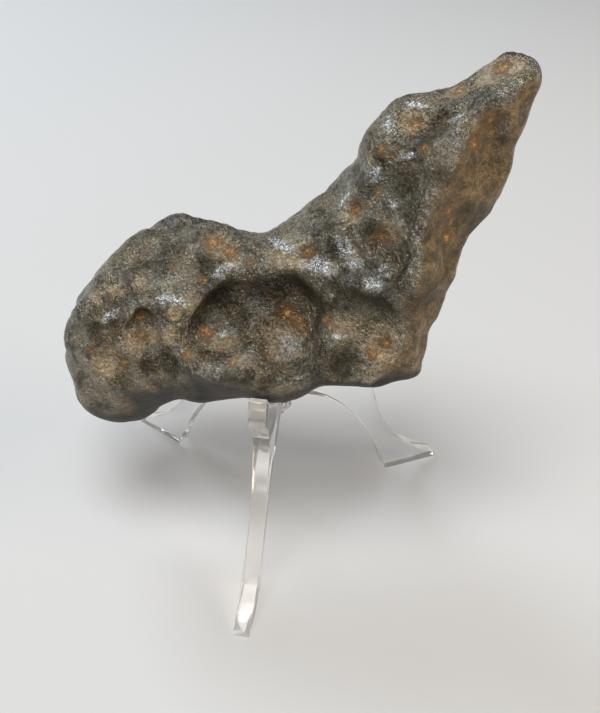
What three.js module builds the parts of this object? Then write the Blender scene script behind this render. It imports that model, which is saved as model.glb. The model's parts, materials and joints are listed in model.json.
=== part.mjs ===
// Iron meteorite resting on a clear three-legged display stand.
// Millimetres, +Z up. The specimen's best side faces -Y and its tall wing rises on the +X side.
import * as THREE from "three";

// Driving dimensions of the stand, which is three cut legs of one outline, joined round a common axis.
const TOE_REACH = 40; // from the stand's axis to the end of each toe
const HEEL_REACH = 27.1; // from the axis to the inner end of each flat foot
const TOE_HEIGHT = 1.2; // the blunt nose of the toe
const SHEET = 3.2; // thickness of the clear sheet that the legs are cut from
const FRONT_LEG_TURN = -95.5; // degrees from +X to the leg that points to the front
const LEG_STEP = 120; // degrees from one leg to the next
const LEG_START = 1.15; // from the axis to each leg's inner end
const HUB_LOW = 28; // height of the arch where the legs meet
const HUB_HIGH = 31.5; // height of the cradle where the legs meet
const CRADLE_TURN = 12.5; // from the axis to where the cradle starts to climb
const PRONG_REACH = 27.8; // from the axis to the prong's outer face
const PRONG_LOW = 41.4; // lower corner of the prong's outer face
const PRONG_HIGH = 46.6; // upper corner of the prong's outer face
const PRONG_TOP = 1.6; // width of the prong's blunt top
const WAIST_REACH = 21.2; // outer edge of the leg at its narrowest
const WAIST_HEIGHT = 31;
const BEAD_REACH = 3.1; // half-width of the drop of cement under the hub
const BEAD_HEIGHT = 5;
const BEAD_GAP = 0.35; // between the drop and the legs above it

// Driving dimensions of the stone's skin.
const CELL = 1.95; // spacing of the lattice that the skin is drawn on
const LOW = new THREE.Vector3(-50, -30, 22); // lattice's lowest corner
const HIGH = new THREE.Vector3(50, 32, 108); // lattice's highest corner
const LUMP_BLEND = 7; // how softly the lumps flow together
const HEEL_BLEND = 3.5; // the same for the heel, which meets them more sharply
const FACE_BLEND = 2.2; // how soft the edge between two broken faces of the body is
const CRISP_BLEND = 1.1; // the same for the wing and its heel, which have crisper edges
const RIM_BLEND = 1.7; // how soft the rim of a hollow is
const RIM_LIFT = 0.35; // share of a hollow's depth by which its round stands proud of the skin
const LINE_START = 8; // how far outside its named point the line to a hollow's middle starts
const LINE_STRIDE = 0.8; // share of the distance to the skin that each step of that line takes
const LINE_STEPS = 60;
const SETTLE_REACH = 0.3; // share of a cell that a point of the skin may move to settle on it
const SETTLE_STEPS = 3;
const SLOPE_STEP = 0.05; // distance over which the slope of the field is measured
const LEAST_SLOPE = 0.25; // squared, so that a flat stretch of the field can't throw a point far
const JUST_OUTSIDE = 0.02; // the distance given to a lattice point that is moved out of the stone
const FAR = 1000; // farther than any point of the lattice is from the skin

const radians = THREE.MathUtils.degToRad;
const vector = (x, y, z) => new THREE.Vector3(x, y, z);

// Joins two distances so that the nearer one wins, with a round of size k where they meet.
function softMin(a, b, k) {
  const h = Math.max(k - Math.abs(a - b), 0) / k;
  return Math.min(a, b) - (h * h * k) / 4;
}

function softMax(a, b, k) {
  return -softMin(-a, -b, k);
}

// A solid ellipsoid with half-sizes, about a centre and in a turned frame.
function lump(centre, half, turn) {
  const back = turn.clone().invert();
  const size = vector(...half);
  const local = vector(0, 0, 0);
  const scaled = vector(0, 0, 0);
  return (p) => {
    local.copy(p).sub(centre).applyMatrix4(back);
    const near = scaled.copy(local).divide(size).length();
    if (near < 1e-6) return -Math.min(...half);
    return (near * (near - 1)) / scaled.divide(size).length();
  };
}

// The same, turned in degrees about X, then Y, then Z.
function egg(centre, half, turn = [0, 0, 0]) {
  const euler = new THREE.Euler(...turn.map(radians), "ZYX");
  return lump(vector(...centre), half, new THREE.Matrix4().makeRotationFromEuler(euler));
}

// A flat broken face: everything past it, along its outward normal, is gone.
function face(point, normal) {
  const out = vector(...normal).normalize();
  const reach = out.dot(vector(...point));
  return (p) => out.dot(p) - reach;
}

// The lumps that the body is made of, from the blunt left end to the foot of the wing.
const body = [
  egg([-28.4, 0, 43.4], [15, 15, 15.4], [0, -30, 0]),
  egg([-18, 2, 48], [14, 16, 16]),
  egg([-6, -2, 46], [17, 18, 16]),
  egg([8, 0, 53], [13, 15, 13]),
];
const lobe = egg([-31, -5, 35.5], [9.5, 10, 9.5]);

// Low swellings underneath, on which the stone rests in the front and the right cradle.
const frontRest = egg([-1.4, -13, 44.6], [6, 4, 4.4]);
const rightRest = egg([18, 8.3, 47.65], [4, 4, 4.4]);

// Broad faces that cut the body, each given by a point on it and its outward normal.
const bodyFaces = [
  face([-12, -8, 56], [-0.05, -0.7, 0.71]), // the best side
  face([-24.7, -6.3, 57.3], [-0.15, -0.47, 0.87]), // the gentler slope above it
  face([-8, -16.6, 40.7], [0.05, -0.91, -0.41]), // the dark strip under it
  face([-36, 0, 52.6], [-0.8, 0.1, 0.56]), // the slope up from the blunt end
  face([4.6, -16.8, 41.4], [0.26, -0.59, -0.76]), // the corner under the bowl
  face([-2, -14, 36.8], [0.25, -0.12, -1]), // underside
  face([-9.8, 7, 37.1], [-0.2, 0.7, -0.69]), // underside at the back, over the left leg
];

// The heel under the wing, as the space between its faces.
const heel = [
  face([20, -15, 52], [-0.05, -0.98, 0.1]), // front
  face([15.7, -14, 41.9], [0.12, -0.09, -1]), // underside
  face([26.1, -13, 56.7], [0.74, -0.66, 0.02]), // right, to the front
  face([27.3, -10.7, 46.1], [0.9, 0.35, -0.16]), // right, to the back
  face([20, 9.5, 50], [0.1, 0.97, -0.2]), // back
  face([4, 0, 50], [-1, 0, 0]), // left, inside the body
  face([17, -19.9, 46.5], [0.09, -0.61, -0.79]), // the corner between front and underside
  face([18, -8, 62], [-0.3, 0.3, 0.9]), // top, inside the wing
];

// The wing, as the space between its faces.
const wing = [
  face([23, -12, 84], [-0.51, -0.31, 0.8]), // above the ridge
  face([22.5, -13, 74], [-0.55, -0.75, 0.37]), // left of the ridge
  face([23.7, -12.7, 84], [0.51, -0.85, 0.1]), // right of the ridge, high up
  face([25.6, -13, 58.7], [0.72, -0.66, -0.12]), // right of the ridge, low down
  face([39.2, -3, 86.8], [0.957, -0.266, -0.118]), // the right edge, high up
  face([32.8, -8, 70.1], [0.884, -0.342, -0.318]), // the right edge, low down
  face([42.4, 0.2, 90.3], [0.775, 0.6, -0.2]), // behind the right edge, high up
  face([31.6, -5.6, 65.4], [0.536, 0.6, -0.594]), // behind the right edge, low down
  face([14.3, 5, 80], [-0.83, 0, 0.56]), // its leaning left edge
  face([8.8, 11, 70.1], [-0.76, 0.3, 0.58]), // behind that edge
  face([30.6, 6, 94.2], [-0.53, 0.35, 0.78]), // behind the crest
  face([42.2, 0, 92], [0.98, 0.1, 0.2]), // the end of the tip
  face([37.8, 0, 99.9], [0.065, 0.287, 0.956]), // the top of the tip
  face([31, 0, 97.9], [-0.5, -0.15, 0.85]), // the slope down from the tip
  face([24, 11, 76], [0, 0.97, 0.2]), // back
  face([18, 0, 50], [0.1, 0.2, -0.97]), // foot, inside the body
];
const knob = egg([21, 2, 82.5], [6.5, 7, 7]);
const leftEnd = face([-40.8, -6, 39.6], [-0.96, -0.28, 0]);

// The inside of all the faces at once, starting from what they cut.
function within(faces, p, blend, start = -FAR) {
  return faces.reduce((d, side) => softMax(d, side(p), blend), start);
}

function joined(lumps, p, blend, start = FAR) {
  return lumps.reduce((d, part) => softMin(d, part(p), blend), start);
}

// The stone before its hollows.
function wholeStone(p) {
  const cutBody = within(bodyFaces, p, FACE_BLEND, joined(body, p, LUMP_BLEND));
  const wingPart = (q) => within(wing, q, CRISP_BLEND);
  const lumps = joined([lobe, frontRest, wingPart, knob, rightRest], p, LUMP_BLEND, cutBody);
  const whole = softMin(lumps, within(heel, p, CRISP_BLEND), HEEL_BLEND);
  return softMax(whole, leftEnd(p), FACE_BLEND);
}

// A thumb-print hollow: a point near it, the way it faces, its half-width, half-height and depth,
// and how far it is spun. Its middle is where a line drawn inwards through the point meets the skin.
function hollow(near, facing, [wide, high, deep], spin = 0) {
  const out = vector(...facing).normalize();
  const middle = vector(...near).addScaledVector(out, LINE_START);
  for (let n = 0; n < LINE_STEPS; n++) {
    middle.addScaledVector(out, -LINE_STRIDE * wholeStone(middle));
  }
  const across = vector(0, 0, 1).cross(out).normalize();
  const turn = new THREE.Matrix4().makeBasis(across, out.clone().cross(across), out);
  turn.multiply(new THREE.Matrix4().makeRotationZ(radians(spin)));
  const spread = 1 / Math.sqrt(1 - (RIM_LIFT / (1 + RIM_LIFT)) ** 2);
  const half = [wide * spread, high * spread, deep * (1 + RIM_LIFT)];
  return lump(middle.addScaledVector(out, deep * RIM_LIFT), half, turn);
}

const hollows = [
  // the best side
  hollow([-10, -12, 52.5], [0, -0.75, 0.66], [8.5, 7, 4.6], 15),
  hollow([-4.6, -9.5, 55.2], [0, -0.75, 0.66], [6.5, 4.4, 4.6], -10),
  hollow([1.3, -12, 52.5], [0.1, -0.78, 0.62], [6.8, 9, 7.6]),
  hollow([-24.5, -13, 50.5], [-0.1, -0.8, 0.6], [4.8, 4.6, 3]),
  hollow([-22, -17.5, 46], [0, -0.85, 0.4], [3.6, 3, 1.6]),
  hollow([-30.5, -17, 45.5], [-0.25, -0.9, 0.35], [5, 3.2, 2]),
  hollow([-36, -12, 48], [-0.7, -0.6, 0.4], [4, 3, 1]),
  // the heel's front
  hollow([14, -13.5, 56], [-0.05, -0.95, 0.25], [9, 5, 1.8]),
  hollow([19.2, -14.5, 52], [0, -0.95, 0.3], [3.6, 3.2, 1.8]),
  hollow([8.3, -13, 54], [0, -0.85, 0.5], [2.4, 2.8, 1.5]),
  // the wing's front
  hollow([17.9, -13, 69], [-0.5, -0.78, 0.36], [4, 5.4, 2.4]),
  hollow([11.5, -5, 73.5], [-0.5, -0.75, 0.4], [3, 2.2, 1.2]),
  hollow([21.5, -1, 88], [-0.4, -0.5, 0.8], [3.8, 3.6, 1.6]),
  hollow([26.3, -3, 90], [-0.45, -0.4, 0.8], [1.5, 4.5, 1.8], -35),
  // the wing's right side
  hollow([33, -6, 86], [0.55, -0.82, 0], [5, 7, 1.4], 20),
  hollow([28.5, -9, 70], [0.7, -0.7, 0], [4, 5, 1.2]),
  // the back of the wing
  hollow([22, 11, 80], [0, 0.97, 0.2], [6, 7, 2.6]),
  hollow([32, 7, 91], [0.3, 0.9, 0.1], [3.6, 4, 1.3]),
  hollow([13, 11, 66], [-0.1, 0.95, 0.2], [6.5, 5.5, 3], 20),
  hollow([25, 9, 64], [0.2, 0.95, 0], [5, 5, 1.8]),
  hollow([17, 10, 54], [0, 0.98, 0], [4.5, 4, 1.5]),
  // the back of the body
  hollow([-3, 16, 52], [0, 0.95, 0.3], [7.5, 6.5, 3.6]),
  hollow([-19, 18, 50], [-0.15, 0.95, 0.2], [7, 6, 3.4], 25),
  hollow([-31, 13, 42], [-0.4, 0.9, 0], [5, 5.5, 1.6]),
  hollow([-11, 13, 62], [0, 0.5, 0.85], [5, 3.6, 1.5]),
  hollow([-41, -1, 44], [-1, 0, 0.1], [5, 6, 1.4]),
  // underneath
  hollow([-31, -6, 27], [0.1, 0, -1], [5, 5, 1.4]),
  hollow([-18, -6, 33], [0.1, -0.1, -1], [6, 5, 1.6]),
  hollow([12, -6, 42], [0.1, 0, -1], [6, 5, 1.6]),
];

// Slow waves that shift the skin, so that no face or rim is quite regular: how far and which way,
// how fast the wave turns along x, y and z, and where it starts.
const waves = [
  { shift: vector(0.4, 0, 0), rate: vector(0, 0.41, 0.23), start: 1 },
  { shift: vector(0, 0.4, 0), rate: vector(0.29, 0, 0.37), start: 0 },
  { shift: vector(0, 0, 0.4), rate: vector(0.39, -0.21, 0), start: 4 },
  { shift: vector(0.2, 0, 0), rate: vector(-0.3, 0, 0.9), start: 0 },
  { shift: vector(0, 0.2, 0), rate: vector(0.84, 0, 0.35), start: 2 },
  { shift: vector(0, 0, 0.2), rate: vector(0.4, 0.77, 0), start: 0 },
];

function stoneField(p) {
  const place = p.clone();
  waves.forEach((wave) => place.addScaledVector(wave.shift, Math.sin(wave.rate.dot(p) + wave.start)));
  return hollows.reduce((d, bite) => softMax(d, -bite(place), RIM_BLEND), wholeStone(place));
}

// The lattice: how many cells each way, how far apart neighbours are in its list, and where each point is.
const count = HIGH.clone().sub(LOW).divideScalar(CELL).ceil().toArray();
const stride = [1, count[0] + 1, (count[0] + 1) * (count[1] + 1)];
const slot = (i, j, k) => i + j * stride[1] + k * stride[2];
const latticePoint = (i, j, k) => vector(i, j, k).multiplyScalar(CELL).add(LOW);

function eachCell(start, past, visit) {
  for (let k = start; k < count[2] + past; k++) {
    for (let j = start; j < count[1] + past; j++) {
      for (let i = start; i < count[0] + past; i++) {
        visit(i, j, k);
      }
    }
  }
}

// Where the corners of a lattice square are in and out by turns, the skin would pinch to a line,
// so the weaker of the two inner corners goes out, until no such square is left.
function unpinch(values) {
  let pinched = true;
  while (pinched) {
    pinched = false;
    eachCell(0, 0, (i, j, k) => {
      for (let axis = 0; axis < 3; axis++) {
        const here = slot(i, j, k);
        const u = stride[(axis + 1) % 3];
        const v = stride[(axis + 2) % 3];
        const ring = [here, here + u, here + u + v, here + v];
        const inner = ring.filter((corner) => values[corner] < 0);
        const opposite = inner.length === 2 && ring.indexOf(inner[1]) - ring.indexOf(inner[0]) === 2;
        if (!opposite) continue;
        values[values[inner[0]] > values[inner[1]] ? inner[0] : inner[1]] = JUST_OUTSIDE;
        pinched = true;
      }
    });
  }
}

// Moves a point onto the skin along the field's slope, at most part of a cell.
function settle(field, start) {
  const point = start.clone();
  for (let n = 0; n < SETTLE_STEPS; n++) {
    const value = field(point);
    const slope = vector(
      field(point.clone().add(vector(SLOPE_STEP, 0, 0))) - value,
      field(point.clone().add(vector(0, SLOPE_STEP, 0))) - value,
      field(point.clone().add(vector(0, 0, SLOPE_STEP))) - value,
    ).divideScalar(SLOPE_STEP);
    point.addScaledVector(slope, -value / Math.max(slope.lengthSq(), LEAST_SLOPE));
  }
  return start.clone().add(point.sub(start).clampLength(0, CELL * SETTLE_REACH));
}

const corners = [0, 1, 2, 3, 4, 5, 6, 7].map((c) => vector(c & 1, (c >> 1) & 1, c >> 2));
const cellEdges = corners.flatMap((a, n) =>
  corners.slice(n + 1).filter((b) => a.manhattanDistanceTo(b) === 1).map((b) => [a, b]),
);

// Draws the skin where the field is zero: one point in each lattice cell that the skin passes through,
// then one pair of triangles round each lattice edge that it crosses.
function skin(field) {
  const values = new Float32Array(stride[2] * (count[2] + 1));
  eachCell(0, 1, (i, j, k) => {
    values[slot(i, j, k)] = field(latticePoint(i, j, k));
  });
  unpinch(values);

  const points = [];
  const pointOf = new Map();
  eachCell(0, 0, (i, j, k) => {
    const crossings = [];
    for (const [a, b] of cellEdges) {
      const from = values[slot(i + a.x, j + a.y, k + a.z)];
      const to = values[slot(i + b.x, j + b.y, k + b.z)];
      if (from < 0 === to < 0) continue;
      const along = a.clone().lerp(b, from / (from - to));
      crossings.push(latticePoint(i + along.x, j + along.y, k + along.z));
    }
    if (!crossings.length) return;
    const middle = crossings.reduce((sum, p) => sum.add(p), vector(0, 0, 0)).divideScalar(crossings.length);
    pointOf.set(slot(i, j, k), points.length);
    points.push(settle(field, middle));
  });

  const triangles = [];
  eachCell(1, 0, (i, j, k) => {
    const here = slot(i, j, k);
    const inside = values[here] < 0;
    for (let axis = 0; axis < 3; axis++) {
      if (inside === values[here + stride[axis]] < 0) continue;
      const u = stride[(axis + 1) % 3];
      const v = stride[(axis + 2) % 3];
      const ring = [here, here - u, here - u - v, here - v].map((cell) => pointOf.get(cell));
      if (!inside) ring.reverse();
      const [a, b, c, d] = ring;
      const shortDiagonal = points[a].distanceTo(points[c]) < points[b].distanceTo(points[d]);
      triangles.push(...(shortDiagonal ? [a, b, c, a, c, d] : [a, b, d, b, c, d]));
    }
  });
  const geometry = new THREE.BufferGeometry().setFromPoints(points).setIndex(triangles);
  geometry.computeVertexNormals();
  return geometry;
}

function meteorite() {
  const iron = new THREE.MeshStandardMaterial({ color: 0x4a423a, roughness: 0.45, metalness: 0.8 });
  const mesh = new THREE.Mesh(skin(stoneField), iron);
  mesh.name = "meteorite";
  return mesh;
}

const acrylic = new THREE.MeshStandardMaterial({
  color: 0xf4f8f8,
  roughness: 0.05,
  metalness: 0,
  transparent: true,
  opacity: 0.35,
});

// One leg's outline in its own plane: x runs out from the stand's axis, y is the height.
function legOutline() {
  const outline = new THREE.Shape();
  outline.moveTo(LEG_START, HUB_LOW);
  outline.bezierCurveTo(11, HUB_LOW, 22, 17, HEEL_REACH, 0);
  outline.lineTo(TOE_REACH, 0);
  outline.lineTo(TOE_REACH, TOE_HEIGHT);
  outline.bezierCurveTo(30, 5.5, WAIST_REACH + 0.3, 16, WAIST_REACH, WAIST_HEIGHT);
  outline.quadraticCurveTo(WAIST_REACH + 0.2, PRONG_LOW - 4.6, PRONG_REACH, PRONG_LOW);
  outline.lineTo(PRONG_REACH - 0.4, PRONG_HIGH);
  outline.lineTo(PRONG_REACH - PRONG_TOP, PRONG_HIGH + 0.1);
  outline.quadraticCurveTo(CRADLE_TURN, HUB_HIGH + 0.7, LEG_START, HUB_HIGH);
  return outline;
}

function leg(name, turn) {
  const options = { depth: SHEET, bevelEnabled: false, curveSegments: 12 };
  const geometry = new THREE.ExtrudeGeometry(legOutline(), options);
  geometry.translate(0, 0, -SHEET / 2);
  geometry.rotateX(Math.PI / 2);
  const mesh = new THREE.Mesh(geometry, acrylic);
  mesh.rotation.z = radians(turn);
  mesh.name = name;
  return mesh;
}

// The crumpled drop of clear cement that hangs under the hub.
function bead() {
  const geometry = new THREE.SphereGeometry(1, 20, 14);
  const places = geometry.attributes.position;
  const point = vector(0, 0, 0);
  for (let n = 0; n < places.count; n++) {
    point.fromBufferAttribute(places, n);
    const crumple = 1 + 0.08 * Math.sin(5 * point.x + 2) * Math.sin(4 * point.y + 6 * point.z);
    places.setXYZ(n, ...point.multiplyScalar(crumple).toArray());
  }
  geometry.scale(BEAD_REACH, BEAD_REACH, BEAD_HEIGHT / 2);
  geometry.computeBoundingBox();
  geometry.translate(0, 0, HUB_LOW - BEAD_GAP - geometry.boundingBox.max.z);
  const mesh = new THREE.Mesh(geometry, acrylic);
  mesh.name = "hub_bead";
  return mesh;
}

const group = new THREE.Group();
group.add(meteorite());
["stand_leg_front", "stand_leg_right", "stand_leg_left"].forEach((name, n) => {
  group.add(leg(name, FRONT_LEG_TURN + n * LEG_STEP));
});
group.add(bead());

// The frame's origin is the middle of the object's footprint, on the surface that it stands on.
const box = new THREE.Box3().setFromObject(group, true);
group.position.set(-(box.min.x + box.max.x) / 2, -(box.min.y + box.max.y) / 2, -box.min.z);

export default group;
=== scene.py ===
"""An iron meteorite on a clear three-legged stand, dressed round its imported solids.

The stone's skin, the stand's polished legs and the drop of cement are each made by one operator. Metres, +Z up.
"""

import json
import math

import bpy
import numpy as np
from bpy.props import FloatProperty, FloatVectorProperty, PointerProperty
from mathutils import Matrix, Vector
from mathutils.bvhtree import BVHTree


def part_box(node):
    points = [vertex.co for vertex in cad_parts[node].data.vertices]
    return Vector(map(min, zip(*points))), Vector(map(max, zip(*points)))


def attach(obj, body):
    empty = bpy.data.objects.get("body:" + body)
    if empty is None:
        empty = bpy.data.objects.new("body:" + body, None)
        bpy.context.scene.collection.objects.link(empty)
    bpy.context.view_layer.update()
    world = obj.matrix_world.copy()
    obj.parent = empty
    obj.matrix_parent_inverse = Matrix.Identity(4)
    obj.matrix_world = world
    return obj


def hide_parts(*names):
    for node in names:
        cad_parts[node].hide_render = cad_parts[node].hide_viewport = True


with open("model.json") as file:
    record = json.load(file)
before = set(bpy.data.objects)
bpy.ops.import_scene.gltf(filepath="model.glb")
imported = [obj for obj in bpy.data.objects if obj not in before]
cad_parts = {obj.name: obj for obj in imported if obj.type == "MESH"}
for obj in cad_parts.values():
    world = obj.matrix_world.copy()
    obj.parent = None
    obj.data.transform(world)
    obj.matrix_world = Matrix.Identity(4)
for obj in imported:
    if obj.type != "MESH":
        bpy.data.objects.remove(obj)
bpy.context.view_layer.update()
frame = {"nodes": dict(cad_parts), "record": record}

bl_info = {
    "name": "Iron Meteorite On A Clear Stand",
    "version": (1, 0, 0),
    "blender": (4, 5, 0),
    "location": "3D View > Sidebar > Meteorite",
    "description": "Makes the skin of an iron meteorite, its acrylic stand and a plain studio",
    "category": "Object",
}

MM = 0.001
BODY = "root"
FLOOR_GAP = 0.05 * MM  # keeps the floor from showing through the clear feet
NEAR_STAND = 1.2 * MM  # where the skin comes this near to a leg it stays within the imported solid
BOX_MARGIN = 0.01 * MM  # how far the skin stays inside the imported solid's box
MERGE_WITHIN = 0.002 * MM  # corners of loose triangles this near to each other become one

# The photograph's frame, in pixels, and the camera that took it, measured from the foot of the stand's axis.
PHOTO_WIDE = 600
PHOTO_HIGH = 713
FOCAL_PIXELS = 963
EYE = Vector((4.24, -157.0, 149.84)) * MM
EYE_DOWN = math.radians(35.6)
EYE_ROLL = math.radians(3.2)
SENSOR = 36.0

FOOT_MOUNTS = [Vector(mount["pos_m"]) for mount in frame["record"]["mounts"]]
STAND_AXIS = sum(FOOT_MOUNTS, Vector()) / len(FOOT_MOUNTS)
LEGS = ("stand_leg_front", "stand_leg_right", "stand_leg_left")

# The shaping of the stone's mesh. A round mixes each vertex once with its neighbours.
SETTLE_ROUNDS = 22
LAG_ROUNDS = 30
SHARPEN_PASSES = ((12, 0.5), (36, 0.5), (120, 0.35))  # rounds that blur the form, and the share added on top
MOST_LIFT = 0.25 * MM
MOST_SINK = 0.6 * MM
STROKE_STEP = 0.5  # millimetres between the samples along a stroke
WEIGHT_STEPS = 50

# The stone's relief: the size of each texture, and how its lumps and dents share in and out.
LUMP_SIZE = 5.5 * MM
DENT_SIZE = 2.3 * MM
SMALL_DENT_SIZE = 1.25 * MM
SMALL_DENT_SHARE = 0.8  # of the larger dents' depth
GRAIN_SIZE = 0.9 * MM
FOLD_SIZE = 1.6 * MM  # of the cement
FOLD_DEPTH = 0.9 * MM
EVENLY = 0.5
DENTS_MIDDLE = 0.45
INWARD_ONLY = 1.0
CALM_SHARE = 0.75  # of the relief that the smooth parts lose

# The paint: rounds of mixing for its near, middle and wide view of the form, and the share of each mark.
NEAR_ROUNDS = 8
MIDDLE_ROUNDS = 40
WIDE_ROUNDS = 260
PIT_SPREAD = 0.9  # how far the pits reach, and then the rust, as a share of each spot's radius
BLOOM_SPREAD = 1.25
BACK_RUST = 0.6
DUSTY_CRESTS = 0.22
# The strength of the painted highlight streaks, and the share of rubbed metal on raised rims.
BRIGHTEST_STREAK = 0.95
RUBBED_RIMS = 0.32
# Painted shade in the hollows: its share at the back, and how much less of it the front gets.
BACK_HOLLOW_SHADE = 0.5
LESS_HOLLOW_SHADE_IN_FRONT = 0.35
LOST_UNDERNEATH = {"rust": 0.6, "tan": 0.7, "rim": 0.8}

# Where a mark begins and where it is full: a share of the skin's direction, or millimetres.
CALM_FACING_DOWN = (0.05, 0.5)
CALM_FACING_RIGHT = (0.72, 0.95)
FACING_DOWN = (0.08, 0.42)
FACING_FRONT = (-0.2, 0.3)
FLANK_DIRECTION = (0.62, -0.78, 0.0)
FACING_FLANK = (0.80, 0.93)
FLANK_FROM_AXIS = (14, 22)
CREST_HEIGHT = (-0.02, 0.05)
RIM_HEIGHT = (0.06, 0.24)
RUST_DEPTH = (0.3, 0.9)
HOLLOW_SHADE_DEPTH = (0.25, 1.1)

# How often each pattern of a finish repeats, per metre.
GREY_PATCHES = 210
MOTTLING = 230
OCHRE_PATCHES = 420
FLECKS = 1500
SKIN_GRAIN = 1400
DUST_BLOOM = 1100
RUST_BLOOM = 1000
RUBBED_STREAKS = 1000
SHEET_SMEARS = 160
SAW_LINES = 1500
EDGE_GRAIN = 2600
CEMENT_GRAIN = 700
FLOOR_CLOUDS = 3

# The skin's shine, from bare to the parts that lie over it, each over the ones before.
SKIN_METALLIC = 0.72
COVERED_METALLIC = 0.2
ZONE_METALLIC = {"flank": 0.45, "worn_and_highlight": 0.9, "underside": 0.25}
SKIN_ROUGHNESS = (0.34, 0.2)
COVERED_ROUGHNESS = 0.72
ZONE_ROUGHNESS = {"flank": 0.48, "underside": 0.62, "worn_and_highlight": 0.26}
ZONE_SHARE = {"flank": 0.7, "underside": 0.8}

# How far each tone hides the one under it, where it is full.
TONE_SHARE = {"grey": 0.45, "flank": 0.85, "underside": 0.92, "tan": 0.85, "painted_shade": 0.8, "rust": 0.92}

# The stand's finish.
BEHIND_PLASTIC = (0.66, 0.66, 0.66, 1)  # colour of the lamps' light that has passed the clear plastic
CEMENT_CLEARNESS = 0.9
SAME_FACE = math.radians(0.5)  # triangles that turn less than this are one flat face
CORNER_ANGLE = math.radians(40)
SMOOTH_ANGLE = math.radians(28)

# The studio. Each light has its place and size in metres and its colour, and its power is a setting.
LIGHTS = {
    "ceiling": ((-0.16, -0.29, 1.1), (0.60, 0.52), (0.95, 0.98, 1.0)),
    "window": ((-0.42, 0.46, 0.56), (0.3, 0.3), (0.76, 0.88, 1.0)),
    "lamp": ((0.66, -0.16, 0.36), (0.3, 0.3), (1.0, 0.78, 0.55)),
}
LIGHT_TARGET = Vector((0, 0, 0.05))
FLOOR_DRIFT = 0.97  # the floor's darkest tone as a share of its own colour

# Places on the best side, each by its pixel in the photograph and its radius in millimetres.
RUST_SPOTS = {
    "left pit, top": ((141, 316), 1.1),
    "left pit, floor": ((141, 336), 1.1),
    "big hollow, upper left": ((206, 333), 1.5),
    "big hollow, lower left": ((188, 356), 1.0),
    "big hollow, foot": ((234, 362), 1.1),
    "bowl, middle": ((287, 313), 2.2),
    "bowl, right wall": ((300, 322), 2.0),
    "bowl, foot": ((268, 357), 0.9),
    "above the rim": ((203, 281), 0.8),
    "top, left patch": ((213, 243), 1.9),
    "top, right patch": ((231, 252), 1.5),
    "shoulder": ((173, 267), 0.8),
    "saddle, left": ((251, 263), 0.9),
    "saddle, right": ((308, 253), 1.3),
    "left bumps": ((124, 363), 1.1),
    "left end": ((91, 350), 0.9),
    "beside the bowl": ((328, 320), 1.1),
    "heel, bright": ((385, 342), 1.3),
    "heel, below": ((372, 353), 1.2),
    "knob dish, top": ((416, 123), 1.3),
    "knob dish, foot": ((413, 132), 0.8),
    "knob, left": ((383, 149), 1.0),
    "knob, foot": ((392, 157), 0.6),
    "knob, right": ((425, 149), 1.0),
    "wing, left": ((379, 192), 0.9),
    "wing, dish": ((356, 211), 1.6),
    "wing, hollow": ((383, 236), 1.5),
    "tip": ((502, 67), 1.6),
    "tip slope": ((460, 90), 1.4),
    "flank, top": ((493, 118), 1.8),
    "flank, middle": ((474, 143), 1.6),
    "flank, low": ((449, 212), 1.3),
    "flank, foot": ((447, 237), 1.3),
    "under the left end": ((128, 400), 0.8),
    "under the body": ((226, 387), 0.8),
}
# Tan dust, and painted light on the floors and walls of the hollows, each by its pixel and its radius in
# millimetres.
TAN_AND_LIT_PATCHES = {
    "ridge, left": ((96, 298), 1.6),
    "ridge, middle": ((116, 291), 1.8),
    "ridge, right": ((140, 284), 1.8),
    "left pit, floor": ((136, 343), 3.2),
    "left pit, rim": ((168, 336), 2.2),
    "left bumps": ((110, 362), 4.0),
    "bowl": ((280, 335), 5.4),
    "bowl, foot": ((274, 354), 3.0),
    "bowl, lower wall": ((294, 354), 2.4),
    "bowl, right wall": ((300, 332), 2.6),
    "left pit, right": ((153, 334), 2.8),
    "above the bowl": ((302, 264), 2.2),
    "above the bowl, right": ((330, 271), 2.0),
    "above the big hollow": ((232, 263), 2.2),
    "beside the left pit": ((176, 312), 2.0),
    "wing, long facet": ((352, 258), 2.0),
    "big hollow, foot": ((236, 362), 2.0),
    "big hollow": ((225, 345), 3.6),
    "band above the rim": ((190, 304), 2.4),
    "top": ((222, 247), 3.4),
    "saddle": ((285, 255), 4.6),
    "heel": ((382, 345), 4.6),
    "tip, end": ((516, 66), 2.6),
    "heel, left": ((345, 328), 3.4),
    "wing foot": ((395, 230), 3.0),
    "wing dish": ((356, 212), 3.4),
    "knob dish": ((412, 120), 3.2),
    "tip": ((490, 72), 4.2),
    "tip slope": ((458, 92), 3.0),
}
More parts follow.
